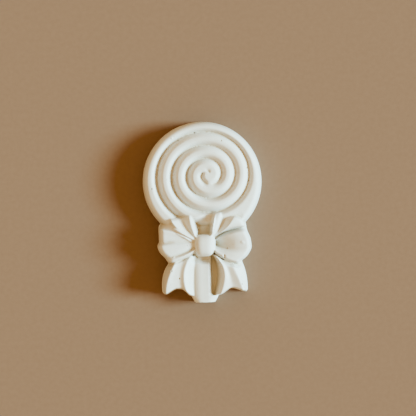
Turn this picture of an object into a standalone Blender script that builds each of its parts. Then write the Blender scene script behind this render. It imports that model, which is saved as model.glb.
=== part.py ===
"""A moulded lollipop that lies on its flat back, cast in one piece in a plain white material.

The round head carries a rope that swirls out from the middle. Below it sit a ribbon bow of
two fans of folds, the knot between them, two ribbon tails and the stub of the stick. Sizes are
in millimetres, and in_metres turns them into Blender's metres. +Y runs from the stub to the top
of the head, +Z out of the relief, and the origin is under the middle of the flat back.
"""

import math
from collections import namedtuple

import bmesh
import bpy
import numpy as np
from mathutils import Vector

# One millimetre in metres, and how close two corners are when they count as one, before and after fusing.
MM = 0.001
WELD = 0.02
FUSED_WELD = 0.0005

# Head: a round disc, slightly domed, whose middle lies HEAD_Y up from the origin. Its relief ends just
# inside the rim, where it rolls down.
HEAD_RADIUS = 20.0
HEAD_Y = 10.15
RIM_INSET = 0.6
RIM_EDGE_Z = 6.2
RIM_FLANK = 1.8
DOME = 1.2

# Swirl: the groove between the turns of the rope winds round the eye. It opens by one pitch a turn,
# drifts towards the head's middle and widens more across than up, and its floor lies SHALLOW_RISE higher
# in one direction than in the opposite one. Ranges are counted in turns.
EYE = (2.25, HEAD_Y + 2.0)
EYE_START = -0.25
EYE_WELD = 0.3
PITCH = 4.67
DRIFT = (-0.22, -0.084)
WIDENING = 0.21
GROOVE_TURNS = 3.95
GROOVE_FADES = (3.79, 3.86)
LAST_TURN_SINKS = (3.66, 3.71)
LAST_TURN_RISES = (3.79, 3.86)
ROPE_TOP_Z = 9.3
GROOVE_Z = 6.7
SHALLOW_RISE = 1.0
SHALLOW_DIRECTION = math.radians(30.0)
COLUMNS_PER_TURN = 52
ROWS_PER_ROPE = 8

# The groove is two dimples in the core and deepens outwards: (start, end, change of its depth).
GROOVE_DEPTHS = ((0.12, 0.22, 0.35), (0.28, 0.36, -0.25), (0.42, 0.52, 0.45), (0.68, 0.74, -0.30),
                 (0.78, 0.95, 0.75))

# Rope: a hollow bank towards the eye and a straighter one away from it, neither wider than BANK_SHARE
# of the rope. A power of one gives a straight bank, and a higher power a more hollow one.
INNER_BANK = 1.8
INNER_POWER = 1.8
OUTER_BANK = 2.3
OUTER_POWER = 1.35
BANK_SHARE = 0.45

# Bow: every fold line is a spoke about the middle of the knot. HUB_SHARE is how near that middle it
# starts, and a roll is the width and the drop of a rounded end.
KNOT = (0.0, -10.85)
Spoke = namedtuple("Spoke", "near middle end heights")
HUB_SHARE = 0.35
SPOKE_SHARES = (0.0, 0.15, 0.3, 0.45, 0.6, 0.75)
ROLL_SHARES = (1.0, 0.5, 0.2, 0.0)
FOLD_STEPS = 3
FOLD_SOFTNESS = 0.6
LEFT_ROLL = (1.8, 2.6)
RIGHT_ROLL = (1.1, 2.0)
TAIL_ROLL = (0.5, 0.8)

# Skirt: how far each step of the side wall stands out from the relief's edge, and its height.
BOW_SKIRT = ((0.30, 2.7), (0.55, 2.4), (0.65, 0.0))
HEAD_SKIRT = ((RIM_INSET, 0.6), (RIM_INSET, 0.0))
BELOW_BACK = 1.0

# Knot: a pillow with a flattened front. Its squareness runs across, along and upwards.
KNOT_SIZE = (7.2, 7.5)
KNOT_MIDDLE = (0.3, -11.25)
KNOT_TOP_Z = 11.0
KNOT_MIDDLE_Z = 6.0
KNOT_SQUARENESS = (3.8, 2.7, 3.4)
KNOT_TAPER = 0.08
KNOT_SEGMENTS = (24, 14)

# Stick: a flat bar with round shoulders, a gutter on its right, and a wider stub at the foot.
STICK_TOP_Z = 5.8
STICK_FLAT = 1.2
STICK_LEFT = 4.0
STICK_RIGHT = 2.6
GUTTER_RIGHT = 4.3
GUTTER_Z = 3.0
SHOULDER_DROP = 1.1
SHOULDER_STEPS = 3
SIDE_LEAN = 0.2
STICK_START_Y = -8.0
STICK_END_Y = -30.2
STUB_START_Y = -28.0
STUB_LENGTH = 1.75
STUB_NARROWING = 0.78

# Each spoke: (angle in degrees, reach) by the knot, half way and at the end, then the three heights.
LEFT_LOOP = (
    Spoke((119, 4.2), (107, 6.3), (109, 11.6), (7.2, 6.6, 6.4)),
    Spoke((134, 4.0), (121, 7.6), (113, 12.0), (9.6, 10.4, 9.4)),
    Spoke((142, 4.4), (134, 8.8), (129, 12.9), (8.9, 8.8, 7.8)),
    Spoke((150, 4.5), (147, 10.0), (140, 14.6), (9.6, 10.3, 10.1)),
    Spoke((153, 4.5), (149.5, 10.3), (143, 14.9), (9.5, 10.1, 5.6)),
    Spoke((156, 4.4), (153, 10.7), (152.5, 15.9), (9.3, 9.8, 5.4)),
    Spoke((158, 4.2), (156, 10.5), (158.5, 16.2), (9.3, 9.7, 5.8)),
    Spoke((160, 4.0), (158, 10.2), (161, 16.0), (9.6, 9.9, 8.9)),
    Spoke((164, 3.9), (166, 9.9), (170, 15.3), (9.4, 9.4, 8.7)),
    Spoke((168, 3.8), (174, 9.7), (177, 15.1), (9.3, 9.1, 7.9)),
    Spoke((174, 3.6), (181, 9.5), (182, 15.7), (9.6, 9.8, 9.0)),
    Spoke((188, 3.5), (191, 8.9), (189, 15.3), (9.6, 9.9, 9.1)),
    Spoke((203, 3.5), (202, 8.0), (198, 14.2), (8.8, 8.6, 8.0)),
    Spoke((212, 3.4), (209, 8.1), (204.5, 13.8), (9.6, 9.8, 8.8)),
    Spoke((226, 3.4), (221, 7.9), (212, 13.4), (7.2, 6.8, 6.4)),
)
RIGHT_LOOP = (
    Spoke((317, 4.0), (319, 8.8), (329, 14.2), (6.6, 6.4, 6.4)),
    Spoke((330, 3.8), (328, 8.9), (334, 13.9), (9.0, 9.6, 8.8)),
    Spoke((342, 4.1), (340, 9.5), (346, 15.5), (7.6, 9.6, 8.9)),
    Spoke((354, 4.3), (351, 9.6), (356, 16.3), (5.0, 8.5, 9.2)),
    Spoke((368, 4.4), (366, 9.8), (364, 16.0), (5.4, 8.8, 9.2)),
    Spoke((377, 4.2), (379, 9.7), (374, 15.4), (6.6, 9.4, 8.9)),
    Spoke((385, 4.2), (387, 9.1), (380, 15.7), (5.0, 7.0, 7.2)),
    Spoke((388, 4.4), (390.5, 9.6), (382, 15.8), (5.2, 8.8, 8.8)),
    Spoke((389, 4.5), (392.5, 9.9), (390.5, 15.9), (5.6, 9.8, 9.4)),
    Spoke((391, 4.7), (395.5, 10.1), (402, 14.4), (6.4, 10.4, 9.7)),
    Spoke((397, 4.5), (405, 8.5), (412.5, 12.5), (7.0, 8.2, 7.8)),
    Spoke((403, 4.3), (415, 8.2), (422, 12.7), (9.2, 10.1, 9.3)),
    Spoke((409, 4.2), (423.5, 8.0), (429, 11.8), (9.6, 10.5, 9.4)),
    Spoke((420, 4.2), (432, 7.8), (435, 11.6), (7.2, 6.6, 6.4)),
)
LEFT_TAIL = (
    Spoke((207, 10.8), (216.5, 16.4), (230.8, 21.5), (3.4, 3.4, 3.4)),
    Spoke((207, 9.8), (222.5, 16.2), (232.3, 21.1), (7.8, 7.6, 7.3)),
    Spoke((210, 9.0), (226.5, 14.8), (238.7, 17.4), (7.6, 7.4, 7.1)),
    Spoke((214, 8.0), (231.5, 13.0), (243.5, 16.9), (7.4, 7.2, 7.0)),
    Spoke((221, 6.0), (236.0, 12.0), (251.0, 17.4), (7.9, 7.8, 7.6)),
    Spoke((225, 5.4), (239.0, 11.5), (254.5, 18.1), (7.4, 7.2, 7.0)),
    Spoke((240, 4.0), (250.5, 9.9), (260.5, 18.7), (5.0, 5.0, 4.9)),
)
RIGHT_TAIL = (
    Spoke((303, 4.0), (295.0, 10.1), (278.0, 18.2), (3.2, 3.2, 3.2)),
    Spoke((314, 5.0), (305.0, 11.6), (285.5, 18.1), (8.2, 8.2, 8.0)),
    Spoke((320, 8.6), (308.5, 13.9), (301.0, 17.6), (7.7, 7.3, 7.1)),
    Spoke((327, 10.0), (315.8, 15.4), (308.5, 20.8), (8.0, 7.9, 7.7)),
    Spoke((336, 12.6), (322.2, 16.9), (309.8, 21.5), (3.6, 3.6, 3.6)),
)

PLASTER_COLOUR = (0.83, 0.80, 0.74, 1.0)
PLASTER_ROUGHNESS = 0.75
SHARP_FOLD = math.radians(40.0)


def in_metres(point):
    return Vector((float(point[0]), float(point[1]), float(point[2]))) * MM


def clear_scene():
    for old in list(bpy.data.objects):
        bpy.data.objects.remove(old, do_unlink=True)


def new_collection(name):
    collection = bpy.data.collections.new(name)
    bpy.context.scene.collection.children.link(collection)
    return collection


def new_object(name, mesh, collection):
    piece = bpy.data.objects.new(name, mesh)
    collection.objects.link(piece)
    return piece


def plaster():
    material = bpy.data.materials.new("white plaster")
    material.use_nodes = True
    shader = material.node_tree.nodes["Principled BSDF"]
    shader.inputs["Base Color"].default_value = PLASTER_COLOUR
    shader.inputs["Roughness"].default_value = PLASTER_ROUGHNESS
    shader.inputs["Metallic"].default_value = 0.0
    return material


def smooth_slopes(rows):
    """Slope of each column at each row, flat at a crest or a valley, so that no curve overshoots."""
    steps = np.diff(rows, axis=0)
    slopes = np.zeros_like(rows)
    before, after = steps[:-1], steps[1:]
    same_way = before * after > 0
    total = np.where(same_way, before + after, 1.0)
    slopes[1:-1] = np.where(same_way, 2.0 * before * after / total, 0.0)
    slopes[0] = steps[0]
    slopes[-1] = steps[-1]
    return slopes


def between_rows(rows, steps, softness):
    """Adds rows between the given ones: softness 0 joins them with straight lines, 1 with smooth curves."""
    slopes = smooth_slopes(rows)
    filled = []
    for index in range(len(rows) - 1):
        for step in range(steps):
            t = step / steps
            rise = t * t * (3.0 - 2.0 * t)
            leave = t * (1.0 - t) ** 2
            arrive = -t * t * (1.0 - t)
            smooth = rows[index] + (rows[index + 1] - rows[index]) * rise
            smooth = smooth + slopes[index] * leave + slopes[index + 1] * arrive
            straight = rows[index] + (rows[index + 1] - rows[index]) * t
            filled.append(straight + (smooth - straight) * softness)
    filled.append(rows[-1])
    return np.array(filled)


def share_between(value, limits):
    """0 before the first limit, 1 after the second, and a straight rise between them."""
    return min(1.0, max(0.0, (value - limits[0]) / (limits[1] - limits[0])))


def groove_radius(turns):
    """Distance of the groove from the eye after this many turns."""
    direction = turns * 2.0 * math.pi
    drift = DRIFT[0] * math.cos(direction) + DRIFT[1] * math.sin(direction)
    widening = WIDENING * math.cos(2.0 * direction)
    return max(0.0, EYE_START + (PITCH + drift + widening) * turns)


def rim_distance(direction):
    """Distance from the eye to the rim of the relief in this direction."""
    across, up = EYE[0], EYE[1] - HEAD_Y
    along = across * math.cos(direction) + up * math.sin(direction)
    radius = HEAD_RADIUS - RIM_INSET
    return -along + math.sqrt(along * along - across * across - up * up + radius * radius)


def edge_of_turn(turns):
    """Radius and height of the rope's edge: the groove, a groove that has faded out, or the rim."""
    direction = turns * 2.0 * math.pi
    rim = rim_distance(direction)
    groove = groove_radius(turns)
    if turns > GROOVE_TURNS or groove >= rim - WELD:
        return rim, ROPE_TOP_Z
    depth = sum(change * share_between(turns, (start, end)) for start, end, change in GROOVE_DEPTHS)
    missing = max(1.0 - depth, share_between(turns, GROOVE_FADES))
    floor = GROOVE_Z + SHALLOW_RISE * (0.5 + 0.5 * math.cos(direction - SHALLOW_DIRECTION))
    return groove, floor + (ROPE_TOP_Z - floor) * missing


def rope_top(turns):
    """Height of the rope's top: the last turn sinks to the groove's floor where the knot hides it."""
    sinks = share_between(turns, LAST_TURN_SINKS)
    rises = share_between(turns, LAST_TURN_RISES)
    return ROPE_TOP_Z - (ROPE_TOP_Z - GROOVE_Z) * (sinks - rises)


def rim_drop(offset):
    """How far the quarter round at the rim lies below the rope's top, this far from the rim."""
    into = 1.0 - share_between(offset, (0.0, RIM_FLANK))
    return (ROPE_TOP_Z - RIM_EDGE_Z) * (1.0 - math.sqrt(1.0 - into ** 2))


def bank_drop(offset, width, depth, power):
    """How far the rope's bank lies below its top, this far from the groove: steepest in the groove."""
    return max(0.0, depth) * (1.0 - share_between(offset, (0.0, width))) ** power


def rope_height(radius, edges, rim, top):
    """Height of the rope between its two edges, which also rolls down to the rim on the last turn."""
    (inner, inner_z), (outer, outer_z) = edges
    width = max(outer - inner, WELD) * BANK_SHARE
    inner_drop = bank_drop(radius - inner, min(INNER_BANK, width), top - inner_z, INNER_POWER)
    outer_drop = bank_drop(outer - radius, min(OUTER_BANK, width), top - outer_z, OUTER_POWER)
    return min(top - max(inner_drop, outer_drop), ROPE_TOP_Z - rim_drop(rim - radius))


def domed(x, y, height):
    """The head's surface falls away from its middle, by DOME at the edge of the relief."""
    away = math.hypot(x, y - HEAD_Y) / (HEAD_RADIUS - RIM_INSET)
    return height - DOME * away * away


def swirl_sheet():
    """The head's relief: a ribbon of faces that winds out from the eye, its turns welded in the groove."""
    sheet = bmesh.new()
    corners = {}
    columns = range(-COLUMNS_PER_TURN, int(GROOVE_TURNS * COLUMNS_PER_TURN) + 1)
    for column in columns:
        turns = column / COLUMNS_PER_TURN
        direction = turns * 2.0 * math.pi
        edges = edge_of_turn(turns), edge_of_turn(turns + 1.0)
        inner, outer = edges[0][0], edges[1][0]
        rim = rim_distance(direction)
        top = max(rope_top(turns), edges[0][1])
        for row in range(ROWS_PER_ROPE + 1):
            share = 0.5 - 0.5 * math.cos(math.pi * row / ROWS_PER_ROPE)
            radius = inner + (outer - inner) * share
            height = rope_height(radius, edges, rim, top)
            x = EYE[0] + radius * math.cos(direction)
            y = EYE[1] + radius * math.sin(direction)
            corners[column, row] = sheet.verts.new(in_metres((x, y, domed(x, y, height))))
    for column in columns[:-1]:
        for row in range(ROWS_PER_ROPE):
            sheet.faces.new((corners[column, row], corners[column, row + 1],
                             corners[column + 1, row + 1], corners[column + 1, row]))
    eye = in_metres((EYE[0], EYE[1], ROPE_TOP_Z))
    middle = [corner for corner in sheet.verts if (corner.co - eye).length < EYE_WELD * MM]
    bmesh.ops.pointmerge(sheet, verts=middle, merge_co=eye)
    bmesh.ops.remove_doubles(sheet, verts=sheet.verts, dist=WELD * MM)
    return sheet


def spoke_point(place):
    angle, reach = math.radians(place[0]), place[1]
    return KNOT[0] + reach * math.cos(angle), KNOT[1] + reach * math.sin(angle)


def spoke_rows(spoke, roll, hub):
    """Points along one fold line: from the hub under the knot to the end, where the edge rolls down."""
    places = [spoke_point(place) for place in (spoke.near, spoke.middle, spoke.end)]
    knots = [np.array((x, y, z)) for (x, y), z in zip(places, spoke.heights)]
    length = float(np.linalg.norm(knots[2] - knots[0])) - BOW_SKIRT[-1][0]
    roll_width, roll_drop = roll
    shares = list(SPOKE_SHARES)
    shares += [1.0 - (BOW_SKIRT[-1][0] + roll_width * left) / length for left in ROLL_SHARES]
    points = []
    if hub:
        middle = np.array((KNOT[0], KNOT[1], knots[0][2]))
        points.append(middle + (knots[0] - middle) * HUB_SHARE)
    for share in shares:
        first = 2.0 * (share - 0.5) * (share - 1.0)
        second = -4.0 * share * (share - 1.0)
        third = 2.0 * share * (share - 0.5)
        point = first * knots[0] + second * knots[1] + third * knots[2]
        left = (1.0 - share) * length - BOW_SKIRT[-1][0]
        into_roll = 1.0 - min(1.0, max(0.0, left / roll_width))
        point[2] -= roll_drop * (1.0 - math.sqrt(max(0.0, 1.0 - into_roll ** 2)))
        points.append(point)
    return np.array(points)


def relief_sheet(spokes, roll, hub):
    """The faces over a row of fold lines."""
    lines = np.array([spoke_rows(spoke, roll, hub) for spoke in spokes])
    grid = between_rows(lines, FOLD_STEPS, 1.0)
    grid[:, :, 2] = between_rows(lines[:, :, 2], FOLD_STEPS, FOLD_SOFTNESS)
    sheet = bmesh.new()
    corners = [[sheet.verts.new(in_metres(point)) for point in line] for line in grid]
    for here, after in zip(corners, corners[1:]):
        for step in range(len(here) - 1):
            sheet.faces.new((here[step], here[step + 1], after[step + 1], after[step]))
    return sheet


def edge_loop(sheet):
    """The corners round the sheet's open edge, in order."""
    border = [edge for edge in sheet.edges if edge.is_boundary]
    corner = border[0].verts[0]
    edge = border[0]
    loop = []
    while corner not in loop:
        loop.append(corner)
        corner = edge.other_vert(corner)
        edge = next(other for other in corner.link_edges if other.is_boundary and other is not edge)
    return loop


def outward(loop):
    """The direction that points out of the outline, level, at each of its corners."""
    area = 0.0
    for here, after in zip(loop, loop[1:] + loop[:1]):
        area += here.co.x * after.co.y - after.co.x * here.co.y
    side = 1.0 if area > 0 else -1.0
    directions = []
    for index, corner in enumerate(loop):
        run = loop[(index + 1) % len(loop)].co - loop[index - 1].co
        directions.append(Vector((run.y, -run.x, 0.0)).normalized() * side)
    return directions


def closed_body(name, sheet, skirt, collection):
    """Gives a relief its side wall, step by step, and closes it below the back."""
    loop = edge_loop(sheet)
    directions = outward(loop)
    start = [corner.co.copy() for corner in loop]
    ring = loop
    for offset, height in skirt + ((skirt[-1][0], -BELOW_BACK),):
        lower = []
        for place, direction in zip(start, directions):
            corner = place + direction * offset * MM
            corner.z = height * MM
            lower.append(sheet.verts.new(corner))
        for index in range(len(ring)):
            after = (index + 1) % len(ring)
            sheet.faces.new((ring[index], lower[index], lower[after], ring[after]))
        ring = lower
    sheet.faces.new(ring)
    bmesh.ops.recalc_face_normals(sheet, faces=sheet.faces)
    bmesh.ops.triangulate(sheet, faces=sheet.faces)
    mesh = bpy.data.meshes.new(name)
    sheet.to_mesh(mesh)
    sheet.free()
    return new_object(name, mesh, collection)


def knot(collection):
    """The knot starts as a sphere and is squared up into a pillow that narrows towards the tails."""
    body = bmesh.new()
    around, upwards = KNOT_SEGMENTS
    bmesh.ops.create_uvsphere(body, u_segments=around, v_segments=upwards, radius=1.0)
    half = (KNOT_SIZE[0] / 2.0, KNOT_SIZE[1] / 2.0, KNOT_TOP_Z - KNOT_MIDDLE_Z)
    for corner in body.verts:
        squared = [math.copysign(abs(value) ** (2.0 / squareness), value)
                   for value, squareness in zip(corner.co, KNOT_SQUARENESS)]
        narrowing = 1.0 + KNOT_TAPER * squared[1]
        corner.co = in_metres((KNOT_MIDDLE[0] + half[0] * squared[0] * narrowing,
                               KNOT_MIDDLE[1] + half[1] * squared[1],
                               KNOT_MIDDLE_Z + half[2] * squared[2]))
    mesh = bpy.data.meshes.new("knot")
    body.to_mesh(mesh)
    body.free()
    return new_object("knot", mesh, collection)


def stick_side(width, gutter):
    """One half of the section across the stick: flat top, round shoulder, side, gutter and outside."""
    side = []
    for step in range(SHOULDER_STEPS + 1):
        share = step / SHOULDER_STEPS
        side.append((STICK_FLAT + (width - STICK_FLAT) * share, STICK_TOP_Z - SHOULDER_DROP * share ** 2))
    return side + [(width + SIDE_LEAN, GUTTER_Z), (gutter, GUTTER_Z), (gutter, -BELOW_BACK)]


def stick(collection):
    """The stick is one section drawn out from end to end, cut by the gutter and narrowed at the foot."""
    body = bmesh.new()
    whole = stick_side(STICK_LEFT, STICK_LEFT + 2.0 * SIDE_LEAN)
    cut = stick_side(STICK_RIGHT, GUTTER_RIGHT)
    rings = []
    for y, right, narrowing in ((STICK_START_Y, cut, 1.0), (STUB_START_Y + SIDE_LEAN, cut, 1.0),
                                (STUB_START_Y, whole, 1.0), (STICK_END_Y + STUB_LENGTH, whole, 1.0),
                                (STICK_END_Y, whole, STUB_NARROWING)):
        section = [(-x, z) for x, z in reversed(whole)] + right
        rings.append([body.verts.new(in_metres((x * narrowing, y, z))) for x, z in section])
    for here, after in zip(rings, rings[1:]):
        for index in range(len(here)):
            following = (index + 1) % len(here)
            body.faces.new((here[index], here[following], after[following], after[index]))
    body.faces.new(rings[0])
    body.faces.new(rings[-1])
    bmesh.ops.recalc_face_normals(body, faces=body.faces)
    bmesh.ops.triangulate(body, faces=body.faces)
    mesh = bpy.data.meshes.new("stick")
    body.to_mesh(mesh)
    body.free()
    return new_object("stick", mesh, collection)


def fused(name, first, others, collection):
    """Joins the forms into one solid and slices its back flat."""
    union = first.modifiers.new("fuse", "BOOLEAN")
    union.operation = "UNION"
    union.operand_type = "COLLECTION"
    union.collection = others
    union.solver = "MANIFOLD"
    evaluated = first.evaluated_get(bpy.context.evaluated_depsgraph_get())
    joined = bpy.data.meshes.new_from_object(evaluated)
    joined.name = name
    bpy.data.objects.remove(first, do_unlink=True)
    for form in list(others.objects):
        bpy.data.objects.remove(form, do_unlink=True)
    bpy.data.collections.remove(others)
    body = bmesh.new()
    body.from_mesh(joined)
    everything = list(body.verts) + list(body.edges) + list(body.faces)
    bmesh.ops.bisect_plane(body, geom=everything, plane_co=(0, 0, 0), plane_no=(0, 0, 1), clear_inner=True)
    bmesh.ops.remove_doubles(body, verts=body.verts, dist=FUSED_WELD * MM)
    open_edges = [edge for edge in body.edges if edge.is_boundary]
    bmesh.ops.contextual_create(body, geom=open_edges)
    bmesh.ops.recalc_face_normals(body, faces=body.faces)
    bmesh.ops.triangulate(body, faces=body.faces)
    body.to_mesh(joined)
    body.free()
    joined.shade_smooth()
    joined.set_sharp_from_angle(angle=SHARP_FOLD)
    return new_object(name, joined, collection)


def build():
    clear_scene()
    parts = new_collection("lollipop")
    forms = new_collection("forms")
    head = closed_body("head", swirl_sheet(), HEAD_SKIRT, parts)
    closed_body("left loop", relief_sheet(LEFT_LOOP, LEFT_ROLL, True), BOW_SKIRT, forms)
    closed_body("right loop", relief_sheet(RIGHT_LOOP, RIGHT_ROLL, True), BOW_SKIRT, forms)
    closed_body("left tail", relief_sheet(LEFT_TAIL, TAIL_ROLL, False), BOW_SKIRT, forms)
    closed_body("right tail", relief_sheet(RIGHT_TAIL, TAIL_ROLL, False), BOW_SKIRT, forms)
    knot(forms)
    stick(forms)
    piece = fused("lollipop", head, forms, parts)
    piece.data.materials.clear()
    piece.data.materials.append(plaster())


build()
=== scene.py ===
# %% [markdown]
# The real object is a small lollipop cast in one piece: a soft white casting mix was poured into a
# rubber mould, and what came out is a flat-backed relief with a swirled head, a ribbon bow and the
# stub of a stick. This script makes that relief as one closed mesh. The forms are first modelled one
# by one, then pressed together and softened, as they are in the master that such a mould is taken
# from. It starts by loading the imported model, whose box is the size that everything has to fit.

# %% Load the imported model
import math
from collections import namedtuple

import bmesh
import bpy
import numpy as np
from mathutils import Matrix, Vector


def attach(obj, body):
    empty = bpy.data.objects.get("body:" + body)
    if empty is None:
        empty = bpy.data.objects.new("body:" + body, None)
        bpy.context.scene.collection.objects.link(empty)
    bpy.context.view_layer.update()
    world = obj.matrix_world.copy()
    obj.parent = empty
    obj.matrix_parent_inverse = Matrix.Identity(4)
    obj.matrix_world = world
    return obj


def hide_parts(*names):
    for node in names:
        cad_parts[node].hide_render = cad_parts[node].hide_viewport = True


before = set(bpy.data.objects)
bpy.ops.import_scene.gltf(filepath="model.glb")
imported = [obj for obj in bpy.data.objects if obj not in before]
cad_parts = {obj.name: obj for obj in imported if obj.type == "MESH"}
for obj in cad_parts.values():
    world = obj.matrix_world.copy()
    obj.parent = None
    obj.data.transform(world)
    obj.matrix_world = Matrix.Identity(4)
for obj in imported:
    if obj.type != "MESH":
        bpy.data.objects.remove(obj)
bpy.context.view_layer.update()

# %% [markdown]
# All forms are modelled in millimetres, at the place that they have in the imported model: +Y runs from
# the stub to the top of the head, and +Z out of the relief. Working at a scale of one unit to a
# millimetre keeps the numbers readable and keeps Blender's merge distances harmless. The finished
# mesh is shrunk to metres once, at the end.

# %% Millimetres, and the heap that the forms are gathered on
MM = 0.001
WELD = 0.005
forms = []

# %% [markdown]
# The swirl is a rope that winds out from the middle of the head, and the groove between its turns
# follows a rule: it opens by one pitch with every turn. That is work for Geometry Nodes. One long
# flat grid is wound up into a ribbon of faces, and its height is worked out from the distance to the
# groove on either side. Such a formula takes many Math nodes, so the next cell makes a number that
# adds them itself: writing a + b in the script puts an Add node in the tree.

# %% A number that writes its own Math nodes
class Number:
    """A number in a node tree. Arithmetic on it adds the Math nodes that work it out."""

    def __init__(self, tree, socket):
        self.tree = tree
        self.socket = socket

    def maths(self, operation, *others):
        node = self.tree.nodes.new("ShaderNodeMath")
        node.operation = operation
        for slot, value in zip(node.inputs, (self,) + others):
            if isinstance(value, Number):
                self.tree.links.new(value.socket, slot)
            else:
                slot.default_value = value
        return Number(self.tree, node.outputs[0])

    def __add__(self, other):
        return self.maths("ADD", other)

    def __sub__(self, other):
        return self.maths("SUBTRACT", other)

    def __mul__(self, other):
        return self.maths("MULTIPLY", other)

    def __truediv__(self, other):
        return self.maths("DIVIDE", other)

    def up_to(self, most):
        return self.maths("MINIMUM", most)

    def at_least(self, least):
        return self.maths("MAXIMUM", least)

    def other_share(self):
        """One minus this number."""
        return (self - 1.0) * -1.0

    def share_between(self, start, end):
        """0 before start, 1 after end and a straight rise between them."""
        return ((self - start) / (end - start)).at_least(0.0).up_to(1.0)


# %% A tree with named inputs, and a mesh grown from a tree
def new_tree(name, sizes):
    """An empty tree with a named input for each size, the geometry that enters it and its numbers."""
    tree = bpy.data.node_groups.new(name, "GeometryNodeTree")
    tree.interface.new_socket("Geometry", in_out="OUTPUT", socket_type="NodeSocketGeometry")
    tree.interface.new_socket("Geometry", in_out="INPUT", socket_type="NodeSocketGeometry")
    for size in sizes:
        tree.interface.new_socket(size, in_out="INPUT", socket_type="NodeSocketFloat")
    entry = tree.nodes.new("NodeGroupInput")
    return tree, entry.outputs["Geometry"], {size: Number(tree, entry.outputs[size]) for size in sizes}


def end_tree(tree, geometry, material):
    """Realize Instances and Set Material close every tree."""
    realize = tree.nodes.new("GeometryNodeRealizeInstances")
    paint = tree.nodes.new("GeometryNodeSetMaterial")
    paint.inputs["Material"].default_value = material
    tree.links.new(geometry, realize.inputs["Geometry"])
    tree.links.new(realize.outputs["Geometry"], paint.inputs["Geometry"])
    tree.links.new(paint.outputs["Geometry"], tree.nodes.new("NodeGroupOutput").inputs["Geometry"])


def grow(name, mesh, tree, sizes):
    """Runs a tree on a mesh and returns what it made as a plain mesh."""
    host = bpy.data.objects.new(name, mesh)
    bpy.context.scene.collection.objects.link(host)
    modifier = host.modifiers.new(name, "NODES")
    modifier.node_group = tree
    for item in tree.interface.items_tree:
        if item.in_out == "INPUT" and item.name in sizes:
            modifier[item.identifier] = sizes[item.name]
    evaluated = host.evaluated_get(bpy.context.evaluated_depsgraph_get())
    made = bpy.data.meshes.new_from_object(evaluated)
    bpy.data.objects.remove(host)
    print(name, "has", len(made.polygons), "faces")
    return made


plaster = bpy.data.materials.new("white plaster")

# %% [markdown]
# The head is a disc 40 mm across and slightly domed. Its rope starts at the eye, a little right of and
# above the disc's middle, and makes almost four turns before the groove runs out at the rim. Someone
# rolled this by hand: every turn drifts a little towards the disc's middle and comes out wider than
# it is high, and the last one sinks before it dives under the bow. The rope's bank towards the eye is
# short and hollow, and the one away from it is longer and straighter. The groove is shallower at the
# upper right than at the lower left, and in the core it is no more than two dimples, so its depth
# follows both the direction and the turns.

# %% Sizes of the head and its swirl
HEAD_RADIUS = 20.0
HEAD_MIDDLE = (0.0, 10.15)
RIM_INSET = 0.6
HEAD_SKIRT = ((RIM_INSET, 0.6), (RIM_INSET, 0.0))
SWIRL = {
    "Rim radius": HEAD_RADIUS - RIM_INSET,
    "Rim edge height": 6.2,
    "Rim flank": 1.8,
    "Eye across": 2.25,
    "Eye up": 2.0,
    "Eye start": -0.25,
    "Pitch": 4.67,
    "Drift across": -0.22,
    "Drift up": -0.084,
    "Widening": 0.13,
    "Inner bank": 1.8,
    "Outer bank": 2.3,
    "Rope top": 9.3,
    "Groove height": 6.7,
    "Shallow side": 1.0,
    "Dome": 1.2,
}
GROOVE_TURNS = 3.95
INNER_POWER = 1.8
OUTER_POWER = 1.35
SHALLOW_DIRECTION = math.radians(30.0)
BANK_SHARE = 0.45
GROOVE_DEPTHS = ((0.12, 0.22, 0.35), (0.28, 0.36, -0.25), (0.42, 0.52, 0.45), (0.68, 0.74, -0.30),
                 (0.78, 0.95, 0.75))
GROOVE_FADES = (3.79, 3.86)
LAST_TURN_SINKS = (3.66, 3.71)
LAST_TURN_RISES = GROOVE_FADES
COLUMNS_PER_TURN = 300
ROWS_PER_ROPE = 26
FULL_TURN = 2.0 * math.pi


# %% [markdown]
# Two curves bound the rope: the groove behind it and the groove one turn further out. Each is given
# by its distance from the eye and its height, and the rope's height is worked out between them. The
# rim takes the outer curve's place on the last turn, and is rounded off by a quarter circle.

# %% The rule of the groove and of the rope
def groove_radius(turns, size):
    """Distance from the eye to the groove after this many turns."""
    direction = turns * FULL_TURN
    drift = size["Drift across"] * direction.maths("COSINE") + size["Drift up"] * direction.maths("SINE")
    widening = size["Widening"] * (direction * 2.0).maths("COSINE")
    return (size["Eye start"] + (size["Pitch"] + drift + widening) * turns).at_least(0.0)


def rim_radius(turns, size):
    """Distance from the eye to the rim in this direction."""
    across, up, rim = size["Eye across"], size["Eye up"], size["Rim radius"]
    direction = turns * FULL_TURN
    along = across * direction.maths("COSINE") + up * direction.maths("SINE")
    return (along * along - across * across - up * up + rim * rim).maths("SQRT") - along


def rope_edge(turns, size):
    """Radius and height of the rope's edge: the groove, a groove that has faded out, or the rim."""
    rim = rim_radius(turns, size)
    past_end = turns.maths("GREATER_THAN", GROOVE_TURNS)
    radius = groove_radius(turns, size).at_least(rim * past_end).up_to(rim)
    deep = turns * 0.0
    for start, end, change in GROOVE_DEPTHS:
        deep = deep + turns.share_between(start, end) * change
    shallow = deep.other_share()
    faded = turns.share_between(*GROOVE_FADES)
    missing = shallow.at_least(faded).at_least(radius.maths("GREATER_THAN", rim - WELD))
    raised = (turns * FULL_TURN - SHALLOW_DIRECTION).maths("COSINE") * 0.5 + 0.5
    bottom = size["Groove height"] + size["Shallow side"] * raised
    return radius, bottom + (size["Rope top"] - bottom) * missing


def rim_drop(offset, flank, depth):
    """How far the quarter round at the rim lies below the rope's top, this far from the rim."""
    into = (offset / flank).up_to(1.0).other_share().up_to(1.0)
    return depth * (into * into).other_share().at_least(0.0).maths("SQRT").other_share()


def bank_drop(offset, width, depth, power):
    """How far the rope's bank lies below its top, this far from the groove: steepest in the groove."""
    into = (offset / width).up_to(1.0).at_least(0.0).other_share()
    return depth.at_least(0.0) * into.maths("POWER", power)


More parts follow.
